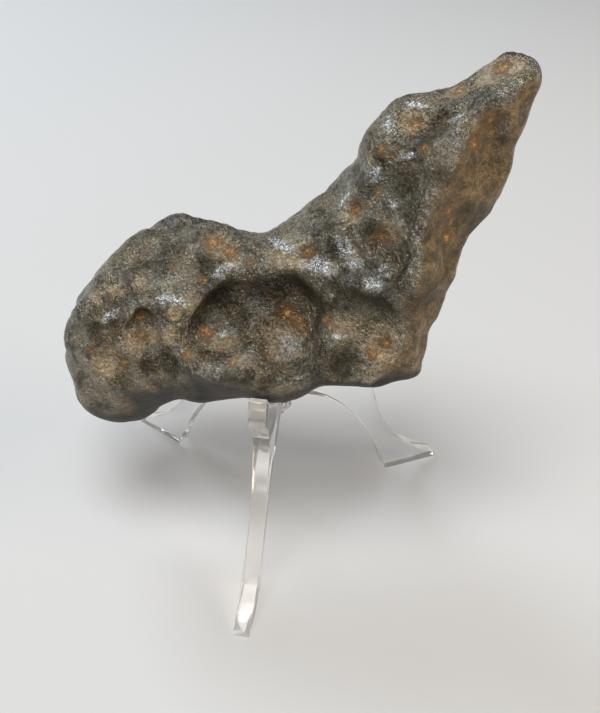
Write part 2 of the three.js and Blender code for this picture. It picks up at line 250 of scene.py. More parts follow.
# Painted highlights on the best side, streaks in bare iron's colour along rims and facets: the pixels that each
# runs through and its half-width in millimetres.
HIGHLIGHT_STREAKS = {
    "above the bowl": (((296, 258), (312, 263), (328, 268), (342, 274)), 1.9),
    "saddle's front": (((268, 238), (284, 246), (300, 254)), 1.2),
    "ledge": (((356, 282), (372, 284), (390, 281)), 1.9),
    "big hollow's rim": (((210, 279), (222, 271), (238, 264)), 1.3),
    "left band": (((152, 298), (168, 300), (184, 302), (196, 298)), 1.1),
    "left pit, right wall": (((158, 312), (162, 322), (160, 334)), 1.9),
    "left pit, left rim": (((101, 325), (110, 316), (120, 311)), 0.9),
    "big hollow, crest": (((213, 338), (226, 333), (238, 329)), 0.7),
    "bowl's lower wall": (((272, 360), (284, 351), (296, 342), (306, 330)), 3.2),
    "bowl's right wall": (((304, 312), (309, 322), (311, 332)), 0.8),
    "beside the bowl": (((316, 334), (321, 344)), 0.7),
    "heel": (((330, 338), (346, 336)), 0.6),
    "knob, left": (((388, 114), (389, 126), (393, 138)), 1.5),
    "knob, top": (((404, 106), (416, 104), (428, 106)), 0.8),
    "knob, lower left": (((368, 162), (373, 172), (382, 184)), 1.9),
    "knob, foot": (((398, 158), (410, 156), (420, 153)), 0.8),
    "wing, long facet": (((333, 237), (344, 250), (356, 264), (364, 272)), 1.7),
    "wing, foot": (((392, 212), (400, 222), (405, 232)), 1.1),
    "wing, lower facet": (((378, 262), (384, 270), (392, 276)), 1.3),
    "wing, upper streak": (((352, 186), (346, 196), (338, 208)), 1.0),
    "wing, middle streak": (((386, 196), (394, 206), (398, 216)), 0.8),
    "knob, right": (((448, 124), (458, 118), (470, 114)), 0.9),
    "ridge": (((526, 80), (508, 91), (487, 102), (466, 122), (448, 138)), 0.6),
}
# Painted shade on the best side, mostly in recesses, grooves and under ledges, each by its pixel and its radius
# in millimetres.
PAINTED_SHADE_SPOTS = {
    "knob groove": ((446, 112), 1.0),
    "left recess": ((146, 365), 2.0),
    "saddle groove": ((335, 250), 1.2),
    "big hollow, roof": ((225, 298), 3.4),
    "bowl, roof": ((278, 287), 3.0),
    "bowl, right roof": ((305, 294), 2.0),
    "between the hollows": ((243, 318), 2.2),
    "body's foot, left": ((190, 372), 2.0),
    "left end, top": ((96, 330), 2.2),
    "top, middle": ((205, 262), 2.2),
    "top, left": ((160, 262), 2.4),
    "under the ledge": ((350, 294), 4.0),
    "under the ledge, right": ((385, 300), 3.4),
    "heel, foot": ((338, 358), 3.6),
    "wing, middle": ((404, 184), 3.0),
    "wing, under the knob": ((385, 168), 1.6),
    "wing, beside the hollow": ((368, 230), 2.0),
    "wing, right of the hollow": ((412, 215), 2.4),
    "wing, low": ((400, 285), 2.2),
    "flank, low": ((425, 300), 3.0),
    "flank, middle": ((440, 175), 2.4),
}
# Painted shadow: dark bands under the rims, each like a streak.
PAINTED_SHADOW_BANDS = {
    "big hollow, roof": (((191, 340), (197, 322), (208, 306), (224, 293), (244, 285)), 1.7),
    "bowl, roof": (((250, 284), (275, 281), (296, 285), (310, 297), (318, 314)), 1.7),
    "under the ledge": (((324, 291), (345, 297), (372, 303), (392, 305)), 1.7),
    "left pit, roof": (((131, 322), (136, 312), (146, 310), (154, 314)), 0.8),
    "body's foot": (((185, 374), (225, 379), (270, 380), (325, 370)), 1.3),
}
# Crests and grooves on the best side: the pixels that each runs through, its half-width and its height,
# both in millimetres. A groove's height is negative.
STROKES = {
    "big hollow's rim": (((184, 338), (192, 309), (203, 295), (216, 282), (231, 272), (251, 268)), 1.0, 1.0),
    "under that rim": (((194, 334), (201, 314), (212, 302), (227, 291), (244, 285)), 1.9, -0.9),
    "roof's rim": (((251, 268), (272, 267), (292, 267), (312, 271), (338, 277), (362, 283)), 1.0, 0.9),
    "under the roof's rim": (((250, 284), (275, 281), (296, 285), (308, 296)), 2.0, -0.6),
    "big hollow's floor": (((196, 350), (213, 357), (234, 354)), 3.2, 1.7),
    "big hollow's left wall": (((192, 342), (194, 352), (198, 360)), 1.8, 0.7),
    "bowl's right wall": (((314, 304), (317, 316), (318, 330)), 0.9, -0.2),
    "bowl's floor": (((268, 354), (282, 351), (297, 341)), 2.6, 1.2),
    "bowl's lower rim": (
        ((250, 345), (254, 358), (263, 368), (273, 371), (285, 365), (297, 356), (308, 346), (316, 337)),
        1.1,
        0.25,
    ),
    "big hollow, crest": (((210, 339), (222, 334), (238, 329)), 0.8, 0.4),
    "between the hollows": (((250, 288), (252, 310), (249, 335)), 0.8, 0.25),
    "left pit's floor": (((133, 322), (137, 334), (148, 341)), 2.6, 1.2),
    "left pit's right wall": (((158, 318), (163, 328), (164, 340)), 1.6, 0.5),
    "top knob": (((168, 221), (178, 219), (188, 221)), 2.4, 2.3),
    "wing's back edge": (((356, 164), (350, 173), (344, 181)), 1.5, 0.5),
    "left pit, arch": (((126, 320), (133, 308), (142, 303), (152, 304), (162, 310)), 0.7, 0.4),
    "left pit, upper rim": (((128, 318), (134, 308), (141, 304), (150, 305), (160, 309), (169, 315)), 0.9, 0.5),
    "left pit, under its rim": (((136, 313), (141, 310), (148, 311)), 0.7, -0.3),
    "left pit, lower rim": (((118, 334), (124, 347), (138, 357), (150, 352)), 0.9, 0.3),
    "left recess": (((136, 362), (146, 367), (157, 368)), 1.3, -0.6),
    "left ridge": (((84, 302), (100, 294), (116, 288), (141, 286)), 0.9, 0.3),
    "left band": (((158, 299), (173, 298), (188, 297), (200, 292)), 0.9, 0.3),
    "saddle groove": (((330, 241), (333, 248), (340, 259)), 0.9, -0.7),
    "saddle's front edge": (((249, 247), (266, 235), (284, 226)), 1.0, 0.3),
    "ledge": (((350, 283), (368, 288), (385, 284)), 1.0, 0.4),
    "under the ledge": (((318, 288), (345, 296), (372, 302), (392, 303)), 2.0, -0.6),
    "ridge, top": (((520, 82), (511, 90), (500, 97), (484, 102)), 0.8, 0.4),
    "ridge, upper": (((484, 104), (461, 125), (442, 143), (429, 152)), 1.0, 0.7),
    "ridge, lower": (((429, 155), (433, 176), (426, 205), (418, 240), (414, 268)), 1.3, 0.5),
    "heel's edge": (((414, 270), (416, 305), (416, 340), (413, 362)), 1.1, 0.5),
    "heel's corner": (((405, 366), (411, 366)), 2.0, 1.2),
    "flank's far edge": (((516, 100), (509, 133), (495, 170), (480, 197), (461, 225), (443, 258)), 1.0, 0.35),
    "knob groove": (((452, 104), (446, 113), (438, 128), (427, 139)), 1.0, -0.3),
    "knob groove's floor": (((449, 106), (443, 118)), 1.6, 0.5),
    "wing hollow's floor": (((398, 236), (395, 248), (388, 262)), 2.6, 1.6),
    "wing's fold": (((352, 232), (366, 246), (378, 268)), 0.9, 0.4),
    "wing's fold, upper": (((372, 176), (386, 200), (402, 222)), 0.9, 0.45),
    "beside the saddle groove": (((333, 233), (342, 243), (352, 254)), 0.8, 0.35),
    "left bump, top": (((94, 352), (97, 353)), 1.1, 0.4),
    "left bump, middle": (((107, 364), (111, 367)), 1.3, 0.45),
    "left bump, right": (((121, 356), (124, 360)), 1.0, 0.4),
    "left bump, low": (((101, 379), (106, 381)), 1.1, 0.35),
    "knob, left rim": (((405, 106), (397, 116), (392, 130), (397, 142)), 0.9, 0.35),
    "knob, foot": (((397, 143), (412, 147), (428, 144)), 0.8, 0.3),
    "under the knob": (((372, 158), (388, 164), (406, 166), (422, 160)), 1.0, -0.45),
    "beside the long facet": (((345, 230), (353, 246), (362, 262), (372, 272)), 0.8, -0.4),
    "wing, upper crease": (((380, 186), (392, 178), (410, 176)), 0.9, -0.35),
    "wing, lower crease": (((372, 226), (378, 240), (376, 254)), 0.9, -0.4),
    "heel crease": (((340, 318), (352, 310), (372, 312), (392, 322)), 1.0, -0.4),
}


# Helpers that any of the pieces may use.


def only(obj):
    """Makes obj the one selected and active object."""
    bpy.ops.object.select_all(action="DESELECT")
    obj.select_set(True)
    bpy.context.view_layer.objects.active = obj


def edit_all(piece, operator, **settings):
    """Runs an edit mode operator on the whole of a piece."""
    only(piece)
    bpy.ops.object.mode_set(mode="EDIT")
    bpy.ops.mesh.select_all(action="SELECT")
    operator(**settings)
    bpy.ops.object.mode_set(mode="OBJECT")


def copy_of_node(node, name):
    """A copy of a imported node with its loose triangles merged, as a new object at the origin."""
    piece = bpy.data.objects.new(name, frame["nodes"][node].data.copy())
    piece.data.materials.clear()
    bpy.context.scene.collection.objects.link(piece)
    edit_all(piece, bpy.ops.mesh.remove_doubles, threshold=MERGE_WITHIN)
    return piece


def apply_modifier(piece, name, kind, **settings):
    """Adds a modifier with those settings and applies it."""
    only(piece)
    modifier = piece.modifiers.new(name, kind)
    for key, value in settings.items():
        setattr(modifier, key, value)
    bpy.ops.object.modifier_apply(modifier=modifier.name)


def relief_texture(name, kind, size):
    """A procedural texture for displacement, with details of that size."""
    texture = bpy.data.textures.new(name, kind)
    texture.noise_scale = size
    return texture


def displace(piece, name, texture, depth, middle, weights=""):
    """Moves the skin along its normals: out where the texture is above middle, in where it is below."""
    look = {"texture": texture, "texture_coords": "LOCAL", "direction": "NORMAL", "vertex_group": weights}
    apply_modifier(piece, name, "DISPLACE", strength=depth, mid_level=middle, **look)


def skin_of(piece):
    """The places and the normals of a piece's vertices, one row each."""
    found = []
    for values, what in ((piece.data.vertices, "co"), (piece.data.vertex_normals, "vector")):
        numbers = np.zeros(len(piece.data.vertices) * 3, np.float32)
        values.foreach_get(what, numbers)
        found.append(numbers.reshape(-1, 3).astype(float))
    return found


def set_places(piece, places):
    """Moves a piece's vertices to those places."""
    piece.data.vertices.foreach_set("co", places.astype(np.float32).ravel())
    piece.data.update()


def set_attribute(piece, name, values):
    """Keeps a value from 0 to 1 on each vertex, for the material to read."""
    attribute = piece.data.attributes.new(name, "FLOAT", "POINT")
    attribute.data.foreach_set("value", np.clip(values, 0, 1).astype(np.float32))


def set_weights(piece, name, values):
    """A vertex group whose weight is the value at each vertex, in even steps."""
    group = piece.vertex_groups.new(name=name)
    steps = np.rint(np.clip(values, 0, 1) * WEIGHT_STEPS).astype(int)
    for step in range(1, WEIGHT_STEPS + 1):
        members = np.flatnonzero(steps == step)
        if len(members):
            group.add(members.tolist(), step / WEIGHT_STEPS, "REPLACE")
    return name


def height_over(tree, places, normals):
    """How far each place is outside the surface in the tree, along its own normal."""
    nearest = np.array([tree.find_nearest(Vector(place))[0] for place in places])
    return ((places - nearest) * normals).sum(1)


def step_up(values, low, high):
    """0 below low, 1 above high, with a smooth rise between them."""
    t = np.clip((values - low) / (high - low), 0, 1)
    return t * t * (3 - 2 * t)


def marked_near(places, centre, radius):
    """1 at the centre, fading to nothing a little past the radius."""
    squared = ((places - np.array(centre)) ** 2).sum(1) / radius**2
    return np.exp(-squared)


class Neighbours:
    """The edges of a mesh, to average values over each vertex's neighbours."""

    def __init__(self, piece):
        edges = np.zeros(len(piece.data.edges) * 2, np.int32)
        piece.data.edges.foreach_get("vertices", edges)
        self.a, self.b = edges.reshape(-1, 2).T
        self.count = len(piece.data.vertices)
        self.share = np.bincount(np.concatenate([self.a, self.b]), minlength=self.count)

    def spread(self, column):
        """Each value mixed half and half with its neighbours' mean."""
        total = np.bincount(self.a, column[self.b], self.count)
        total += np.bincount(self.b, column[self.a], self.count)
        return (column + total / self.share) / 2

    def average(self, values, rounds):
        """The values after that many rounds of mixing."""
        columns = list(values.reshape(self.count, -1).T)
        for _ in range(rounds):
            columns = [self.spread(column) for column in columns]
        return np.stack(columns, axis=1).reshape(values.shape)


# The photograph's camera.


def eye_axes():
    """The camera's right, up and forward directions."""
    forward = Vector((0, math.cos(EYE_DOWN), -math.sin(EYE_DOWN)))
    level_up = Vector((0, math.sin(EYE_DOWN), math.cos(EYE_DOWN)))
    level_right = Vector((1, 0, 0))
    right = math.cos(EYE_ROLL) * level_right + math.sin(EYE_ROLL) * level_up
    up = math.cos(EYE_ROLL) * level_up - math.sin(EYE_ROLL) * level_right
    return right, up, forward


def seen_at(pixel, tree):
    """The point of the stone's skin that the photograph shows at a pixel."""
    right, up, forward = eye_axes()
    across = (pixel[0] - PHOTO_WIDE / 2) / FOCAL_PIXELS
    down = (pixel[1] - PHOTO_HIGH / 2) / FOCAL_PIXELS
    direction = (forward + across * right - down * up).normalized()
    place = tree.ray_cast(STAND_AXIS + EYE, direction)[0]
    if place is None:
        raise RuntimeError(f"the stone isn't seen at pixel {pixel}")
    return place


def painted(places, spots, tree, spread=1.0):
    """How strongly the spots mark each vertex: 1 at a spot's middle, fading over its radius."""
    spread *= MM
    marks = [marked_near(places, seen_at(pixel, tree), radius * spread) for pixel, radius in spots.values()]
    return np.max(marks, axis=0)


def stroke_marks(places, pixels, half_width, tree):
    """How strongly a stroke through those pixels marks each vertex, fading towards its two ends."""
    corners = [seen_at(pixel, tree) for pixel in pixels]
    samples = []
    for start, end in zip(corners, corners[1:]):
        steps = max(2, int((end - start).length / (STROKE_STEP * MM)))
        samples += [start.lerp(end, n / steps) for n in range(steps)]
    samples.append(corners[-1])
    marks = np.zeros(len(places))
    for n, sample in enumerate(samples):
        from_end = min(n + 1, len(samples) - n) * STROKE_STEP
        fade = min(1.0, from_end / (2 * half_width))
        marks = np.maximum(marks, fade * marked_near(places, sample, half_width * MM))
    return marks


def streaked(places, strokes, tree):
    """How strongly any of the strokes marks each vertex."""
    marks = [stroke_marks(places, pixels, half_width, tree) for pixels, half_width in strokes.values()]
    return np.max(marks, axis=0)


# Shader building.


def new_group(name, inputs, outputs):
    """An empty node group with named sockets, and its input and output nodes."""
    group = bpy.data.node_groups.new(name, "ShaderNodeTree")
    kinds = {"value": "NodeSocketFloat", "colour": "NodeSocketColor", "vector": "NodeSocketVector"}
    for way, sockets in (("INPUT", inputs), ("OUTPUT", outputs)):
        for socket, kind in sockets.items():
            group.interface.new_socket(name=socket, in_out=way, socket_type=kinds[kind])
    return group, group.nodes.new("NodeGroupInput").outputs, group.nodes.new("NodeGroupOutput").inputs


class Graph:
    """Adds nodes to a tree, each with its inputs given as values or as other nodes' outputs."""

    def __init__(self, tree):
        self.tree = tree

    def add(self, kind, inputs=None, **settings):
        """A new node with those settings and inputs."""
        node = self.tree.nodes.new(kind)
        for key, value in settings.items():
            setattr(node, key, value)
        for key, value in (inputs or {}).items():
            if isinstance(value, bpy.types.NodeSocket):
                self.tree.links.new(value, node.inputs[key])
            else:
                node.inputs[key].default_value = value
        return node

    def math(self, operation, a, b=0.0):
        return self.add("ShaderNodeMath", {0: a, 1: b}, operation=operation).outputs[0]

    def times(self, a, b):
        return self.math("MULTIPLY", a, b)

    def plus(self, a, b):
        return self.math("ADD", a, b)

    def swing(self, noise, reach):
        """A noise as a value that swings evenly above and below nothing."""
        return self.times(self.math("SUBTRACT", noise, 0.5), reach)

    def ramp(self, value, low, high, to_low=0.0, to_high=1.0):
        """A smooth rise from to_low, where the value is low, to to_high, where it is high."""
        inputs = {"Value": value, "From Min": low, "From Max": high, "To Min": to_low, "To Max": to_high}
        return self.add("ShaderNodeMapRange", inputs, interpolation_type="SMOOTHSTEP").outputs["Result"]

    def mix(self, factor, a, b, blend="MIX"):
        """Two colours mixed, each either a socket or three numbers."""
        a, b = (value if isinstance(value, bpy.types.NodeSocket) else (*value, 1) for value in (a, b))
        return self.add("ShaderNodeMix", {0: factor, 6: a, 7: b}, data_type="RGBA", blend_type=blend).outputs[2]

    def blend_value(self, factor, a, b):
        """Two values mixed."""
        return self.add("ShaderNodeMix", {0: factor, 2: a, 3: b}, data_type="FLOAT").outputs[0]

    def noise(self, place, scale, detail=2.0, roughness=0.5, warp=0.0):
        inputs = {"Vector": place, "Scale": scale, "Detail": detail, "Roughness": roughness, "Distortion": warp}
        return self.add("ShaderNodeTexNoise", inputs).outputs["Fac"]

    def cells(self, place, scale):
        return self.add("ShaderNodeTexVoronoi", {"Vector": place, "Scale": scale}).outputs["Distance"]

    def bump(self, height, strength, depth):
        inputs = {"Height": height, "Strength": strength, "Distance": depth}
        return self.add("ShaderNodeBump", inputs).outputs["Normal"]

    def attribute(self, name):
        return self.add("ShaderNodeAttribute", attribute_name=name).outputs["Fac"]

    def group(self, tree, **inputs):
        return self.add("ShaderNodeGroup", inputs, node_tree=tree).outputs


def bloom_group():
    """Breaks a smooth patch into the ragged edge and speckle of rust, brightest in its middle."""
    inputs = {"Place": "vector", "Amount": "value", "Scale": "value", "Light": "colour", "Dark": "colour"}
    group, given, result = new_group("rust bloom", inputs, {"Mask": "value", "Colour": "colour"})
    graph = Graph(group)
    coarse = graph.noise(given["Place"], given["Scale"], detail=4, roughness=0.62, warp=0.4)
    fine = graph.noise(given["Place"], graph.times(given["Scale"], 2.7), detail=3, roughness=0.6)
    ragged_and_speckled = graph.plus(graph.swing(coarse, 1.3), graph.swing(fine, 1.5))
    reach = graph.plus(given["Amount"], ragged_and_speckled)
    mask = graph.times(graph.ramp(reach, 0.32, 0.68), graph.ramp(given["Amount"], 0.02, 0.3))
    group.links.new(mask, result["Mask"])
    group.links.new(graph.mix(graph.ramp(reach, 0.75, 1.35), given["Dark"], given["Light"]), result["Colour"])
    return group


def grain_group():
    """The height of a fine hammered grain: crooked wrinkles and small round dents under a finer roughness."""
    inputs = {"Place": "vector", "Scale": "value", "Fine": "value"}
    group, given, result = new_group("hammered grain", inputs, {"Height": "value", "Crest": "value"})
    graph = Graph(group)
    folds = graph.noise(given["Place"], graph.times(given["Scale"], 0.62), detail=2, roughness=0.5, warp=1.2)
    from_fold = graph.math("ABSOLUTE", graph.math("SUBTRACT", folds, 0.5))
    wrinkles = graph.ramp(from_fold, 0.0, 0.16, to_low=1.0, to_high=0.0)
    dents = graph.cells(given["Place"], given["Scale"])
    coarse = graph.plus(graph.times(wrinkles, 0.55), graph.times(dents, 0.6))
    group.links.new(coarse, result["Crest"])
    rough = graph.noise(given["Place"], graph.times(given["Scale"], 1.9), detail=4, roughness=0.65)
    group.links.new(graph.blend_value(given["Fine"], coarse, rough), result["Height"])
    return group


def wear_and_highlight_group():
    """Where rubbed metal and painted highlights show: on rims and crests, in broken streaks."""
    inputs = {"Place": "vector", "Rim": "value", "Scale": "value"}
    group, given, result = new_group("rubbed edges", inputs, {"Mask": "value"})
    graph = Graph(group)
    streaks = graph.noise(given["Place"], given["Scale"], detail=5, roughness=0.7, warp=0.6)
    lifted = graph.plus(given["Rim"], graph.swing(streaks, 1.8))
    mask = graph.times(graph.ramp(lifted, 0.3, 1.25), graph.ramp(given["Rim"], 0.03, 0.3))
    group.links.new(mask, result["Mask"])
    return group


SHARED_GROUPS = {"rust bloom": bloom_group, "hammered grain": grain_group, "rubbed edges": wear_and_highlight_group}


def shared_group(name):
    """A node group that several materials use, built once."""
    return bpy.data.node_groups.get(name) or SHARED_GROUPS[name]()


def new_material(name):
    """A material with its graph, its shader and the place on the piece."""
    material = bpy.data.materials.new(name)
    material.use_nodes = True
    graph = Graph(material.node_tree)
    place = graph.add("ShaderNodeTexCoord").outputs["Object"]
    return material, graph, material.node_tree.nodes["Principled BSDF"], place


def feed(graph, shader, **links):
    """Links what changes over the surface to the shader's sockets."""
    for socket, value in links.items():
        graph.tree.links.new(value, shader.inputs[socket.replace("_", " ")])


def hold(shader, **values):
    """Sets what is the same all over the surface on the shader's own sockets."""
    for socket, value in values.items():
        shader.inputs[socket.replace("_", " ")].default_value = value


def iron_skin(settings):
    """The stone's own skin: dark iron with rust, tan dust, rubbed rims and a smoother, browner underside, with
    painted light and shade: highlights on rims and crests, light on some hollow floors, shade in hollows, under
    rims, in the grain's grooves and on the underside.
    """
    material, graph, shader, place = new_material("iron skin")
    patches = graph.noise(place, GREY_PATCHES, detail=3, roughness=0.55, warp=0.4)
    mottle = graph.noise(place, MOTTLING, detail=5, roughness=0.56, warp=0.8)
    fleck = graph.noise(place, FLECKS, detail=3, roughness=0.62)
    flank, underside, hollow = (graph.attribute(name) for name in ("flank", "underside", "hollow"))
    relief_left = graph.blend_value(underside, 1.0, 0.3)  # the underside keeps little of the grain
    hammered = graph.group(shared_group("hammered grain"), Place=place, Scale=SKIN_GRAIN, Fine=0.38)
    crest = graph.times(hammered["Crest"], relief_left)

    colour = graph.mix(graph.ramp(mottle, 0.38, 0.62), settings.iron_dark, settings.iron_brown)
    grey = graph.times(graph.ramp(patches, 0.42, 0.6), TONE_SHARE["grey"])
    colour = graph.mix(grey, colour, settings.iron_grey)
    # Painted light and shade at the grain's scale: crests lighter, grooves darker.
    colour = graph.mix(1.0, colour, graph.ramp(crest, 0.2, 0.85, to_low=0.84, to_high=1.2), "MULTIPLY")
    ochre = graph.ramp(graph.noise(place, OCHRE_PATCHES, detail=6, roughness=0.78, warp=0.3), 0.38, 0.66)
    side = graph.mix(ochre, settings.flank_dark, settings.flank_ochre)
    colour = graph.mix(graph.times(flank, TONE_SHARE["flank"]), colour, side)
    # The downward-facing skin: smoother, and painted near-black as shade.
    colour = graph.mix(graph.times(underside, TONE_SHARE["underside"]), colour, settings.underside)

    dusty = graph.plus(graph.times(graph.attribute("tan"), TONE_SHARE["tan"]), 0.02)
    dust = graph.group(shared_group("rust bloom"), Place=place, Amount=dusty, Scale=DUST_BLOOM)
    tan_mask = graph.times(dust["Mask"], graph.blend_value(underside, 0.8, 0.1))
    tan_mask = graph.times(tan_mask, graph.blend_value(hollow, 1.0, 0.35))
    grains = graph.mix(graph.ramp(fleck, 0.34, 0.7), settings.tan_dark, settings.tan)
    # Tan dust, and painted light where the patches lie on the hollows' floors and walls.
    colour = graph.mix(tan_mask, colour, grains)
    # Painted shade: darkens the hollows, the bands under the rims and the places marked as dark.
    colour = graph.mix(graph.times(hollow, TONE_SHARE["painted_shade"]), colour, settings.painted_shade)

    rust_colours = {"Light": (*settings.rust_light, 1), "Dark": (*settings.rust_dark, 1)}
    rusty = graph.attribute("rust")
    rust = graph.group(shared_group("rust bloom"), Place=place, Amount=rusty, Scale=RUST_BLOOM, **rust_colours)
    rust_mask = graph.times(rust["Mask"], TONE_SHARE["rust"])
    colour = graph.mix(rust_mask, colour, rust["Colour"])

    # Rubbed rims, and painted highlights along the marked streaks and on crests, in the colour of bare iron.
    rim = graph.times(graph.attribute("rim"), graph.ramp(crest, 0.2, 0.8, to_low=0.6, to_high=1.5))
    worn_and_highlight = graph.group(shared_group("rubbed edges"), Place=place, Rim=rim, Scale=RUBBED_STREAKS)["Mask"]
    worn_and_highlight = graph.times(worn_and_highlight, graph.math("SUBTRACT", 1.0, rust_mask))
    colour = graph.mix(worn_and_highlight, colour, settings.bare_iron_and_highlight)

    covered = graph.math("MAXIMUM", rust_mask, graph.times(tan_mask, 0.6))
    zones = {
        "flank": graph.times(flank, ZONE_SHARE["flank"]),
        "underside": graph.times(underside, ZONE_SHARE["underside"]),
        "worn_and_highlight": worn_and_highlight,
    }
    metallic = graph.blend_value(covered, SKIN_METALLIC, COVERED_METALLIC)
    for zone, value in ZONE_METALLIC.items():
        metallic = graph.blend_value(zones[zone], metallic, value)
    roughness = graph.blend_value(covered, graph.ramp(fleck, 0.3, 0.7, *SKIN_ROUGHNESS), COVERED_ROUGHNESS)
    for zone, value in ZONE_ROUGHNESS.items():
        roughness = graph.blend_value(zones[zone], roughness, value)

    normal = graph.bump(graph.times(hammered["Height"], relief_left), strength=0.85, depth=0.8 * MM)
    feed(graph, shader, Base_Color=colour, Metallic=metallic, Roughness=roughness, Normal=normal)
    hold(shader, Coat_Roughness=0.25, Coat_Weight=0.08)
    return material


def make_clear(graph, shader, tint, clearness, refraction):
    """Makes a clear plastic that also lets the lamps' light pass, as it does through such a thin sheet."""
    hold(shader, Base_Color=(*tint, 1), Transmission_Weight=clearness, IOR=refraction)
    path = graph.add("ShaderNodeLightPath")
    passing = graph.add("ShaderNodeBsdfTransparent", {"Color": BEHIND_PLASTIC})
    mixed = graph.add("ShaderNodeMixShader", {0: path.outputs["Is Shadow Ray"]})
    graph.tree.links.new(shader.outputs[0], mixed.inputs[1])
    graph.tree.links.new(passing.outputs[0], mixed.inputs[2])
    graph.tree.links.new(mixed.outputs[0], graph.tree.nodes["Material Output"].inputs["Surface"])


def clear_sheet(settings):
    """The polished faces of the clear sheet."""
    material, graph, shader, place = new_material("clear acrylic sheet")
    smear = graph.noise(place, SHEET_SMEARS, detail=3, roughness=0.6)
    feed(graph, shader, Roughness=graph.ramp(smear, 0.35, 0.75, to_low=0.01, to_high=0.05))
    make_clear(graph, shader, settings.sheet_tint, 1.0, settings.refraction)
    return material


def cut_edge(settings):
    """The sawn and rubbed edges of the sheet, which gather its light and carry the saw's fine lines."""
    material, graph, shader, place = new_material("acrylic cut edge")
    stretched = graph.add("ShaderNodeMapping", {"Vector": place, "Scale": (0.1, 0.1, 1.0)}).outputs["Vector"]
    lines = graph.noise(stretched, SAW_LINES, detail=3, roughness=0.7)
    grain = graph.group(shared_group("hammered grain"), Place=place, Scale=EDGE_GRAIN, Fine=0.8)["Height"]
    normal = graph.bump(graph.plus(lines, graph.times(grain, 0.15)), strength=0.05, depth=0.1 * MM)
    feed(graph, shader, Roughness=graph.ramp(lines, 0.3, 0.7, to_low=0.05, to_high=0.16), Normal=normal)
    make_clear(graph, shader, settings.edge_tint, settings.edge_clearness, settings.refraction)
    return material


def cement(settings):
    """The clear cement, crazed a little as it shrank."""
    material, graph, shader, place = new_material("clear cement")
    grain = graph.group(shared_group("hammered grain"), Place=place, Scale=CEMENT_GRAIN, Fine=0.35)["Height"]
    normal = graph.bump(grain, strength=0.8, depth=0.4 * MM)
    feed(graph, shader, Normal=normal, Roughness=graph.ramp(grain, 0.2, 0.8, to_low=0.03, to_high=0.18))
    make_clear(graph, shader, settings.edge_tint, CEMENT_CLEARNESS, settings.refraction)
    return material


# What a user may change.


def colour_property(name, description, default):
    look = {"size": 3, "subtype": "COLOR", "min": 0, "max": 1}
    return FloatVectorProperty(name=name, description=description, default=default, **look)


def length_property(name, description, default):
    look = {"min": 0, "subtype": "DISTANCE", "unit": "LENGTH", "precision": 5}
    return FloatProperty(name=name, description=description, default=default, **look)


def power_property(name, description, default):
    return FloatProperty(name=name, description=description, default=default, min=0, unit="POWER")


def number_property(name, description, default, low, high):
    return FloatProperty(name=name, description=description, default=default, min=low, max=high)


class StoneSettings(bpy.types.PropertyGroup):
    """Sizes and colours of the stone"""

    mesh_size: length_property("Mesh size", "Edge length of the stone's fine mesh", 0.41 * MM)
    rim_sharpness: number_property(
        "Rim sharpness", "How far rims stand up and the skin beside them sinks", 0.7, 0, 3
    )
    lump_depth: length_property("Lump depth", "Depth of the slow lumps", 0.25 * MM)
    dent_depth: length_property("Dent depth", "Depth of the hammered dents", 0.24 * MM)
    grain_depth: length_property("Grain depth", "Depth of the finest modelled grain", 0.2 * MM)
    pit_depth: length_property("Pit depth", "Depth of the pits round rust spots", 0.3 * MM)
    iron_dark: colour_property("Dark iron", "Darkest tone of the skin", (0.088, 0.072, 0.048))
    iron_brown: colour_property("Brown iron", "Warm tone of the skin", (0.265, 0.216, 0.143))
    iron_grey: colour_property("Grey iron", "Cool patches of the skin", (0.300, 0.286, 0.232))
    # Also the colour of the painted highlights.
    bare_iron_and_highlight: colour_property("Bare iron", "Rubbed rims", (0.66, 0.68, 0.67))
    # Near-black: partly the smoother skin's own tone, partly painted shade.
    underside: colour_property("Underside", "Smooth skin underneath", (0.026, 0.021, 0.014))
    # The colour of the painted shade in hollows and under rims.
    painted_shade: colour_property("Deep hollows", "Skin in the depth of a hollow", (0.046, 0.035, 0.019))
    flank_dark: colour_property("Flank, dark", "Dark patches of the wing's right side", (0.095, 0.073, 0.042))
    flank_ochre: colour_property("Flank, ochre", "Ochre patches of the wing's right side", (0.36, 0.240, 0.110))
    # Also the colour of the painted light on the hollows' floors.
    tan: colour_property("Tan", "Dusty patches", (0.72, 0.58, 0.38))
    tan_dark: colour_property("Dark tan", "Dusty patches, darker grains", (0.34, 0.255, 0.155))
    rust_light: colour_property("Rust, light", "Orange of fresh rust", (0.85, 0.47, 0.16))
    rust_dark: colour_property("Rust, dark", "Brown of old rust", (0.22, 0.125, 0.055))


class StandSettings(bpy.types.PropertyGroup):
    """Sizes and finish of the stand"""

    edge_round: length_property("Edge rounding", "Radius left on the sheet's edges by polishing", 0.22 * MM)
    refraction: number_property("Refraction", "Index of refraction of the acrylic", 1.49, 1, 2)
    sheet_tint: colour_property("Sheet", "Tint of the clear sheet", (0.97, 0.98, 0.98))
    edge_tint: colour_property("Edge", "Tint of the cut edges and the cement", (0.98, 0.96, 0.93))
    edge_clearness: number_property("Edge clearness", "Share of light that a cut edge lets through", 0.84, 0, 1)


class StudioSettings(bpy.types.PropertyGroup):
    """Floor and lights"""

    floor_size: length_property("Floor size", "Side of the square floor", 6.0)
    floor_colour: colour_property("Floor", "Colour of the floor", (0.71, 0.70, 0.69))
    sky: colour_property("Sky", "Colour of the light all round", (1.0, 0.96, 0.90))
    sky_strength: number_property("Sky strength", "Strength of the light all round", 0.12, 0, 10)
    ceiling_power: power_property("Ceiling power", "Power of the broad light overhead", 9.4)
    window_power: power_property("Window power", "Power of the cool light from behind", 2.6)
    lamp_power: power_property("Lamp power", "Power of the warm light from the right", 1.9)


# The stone.


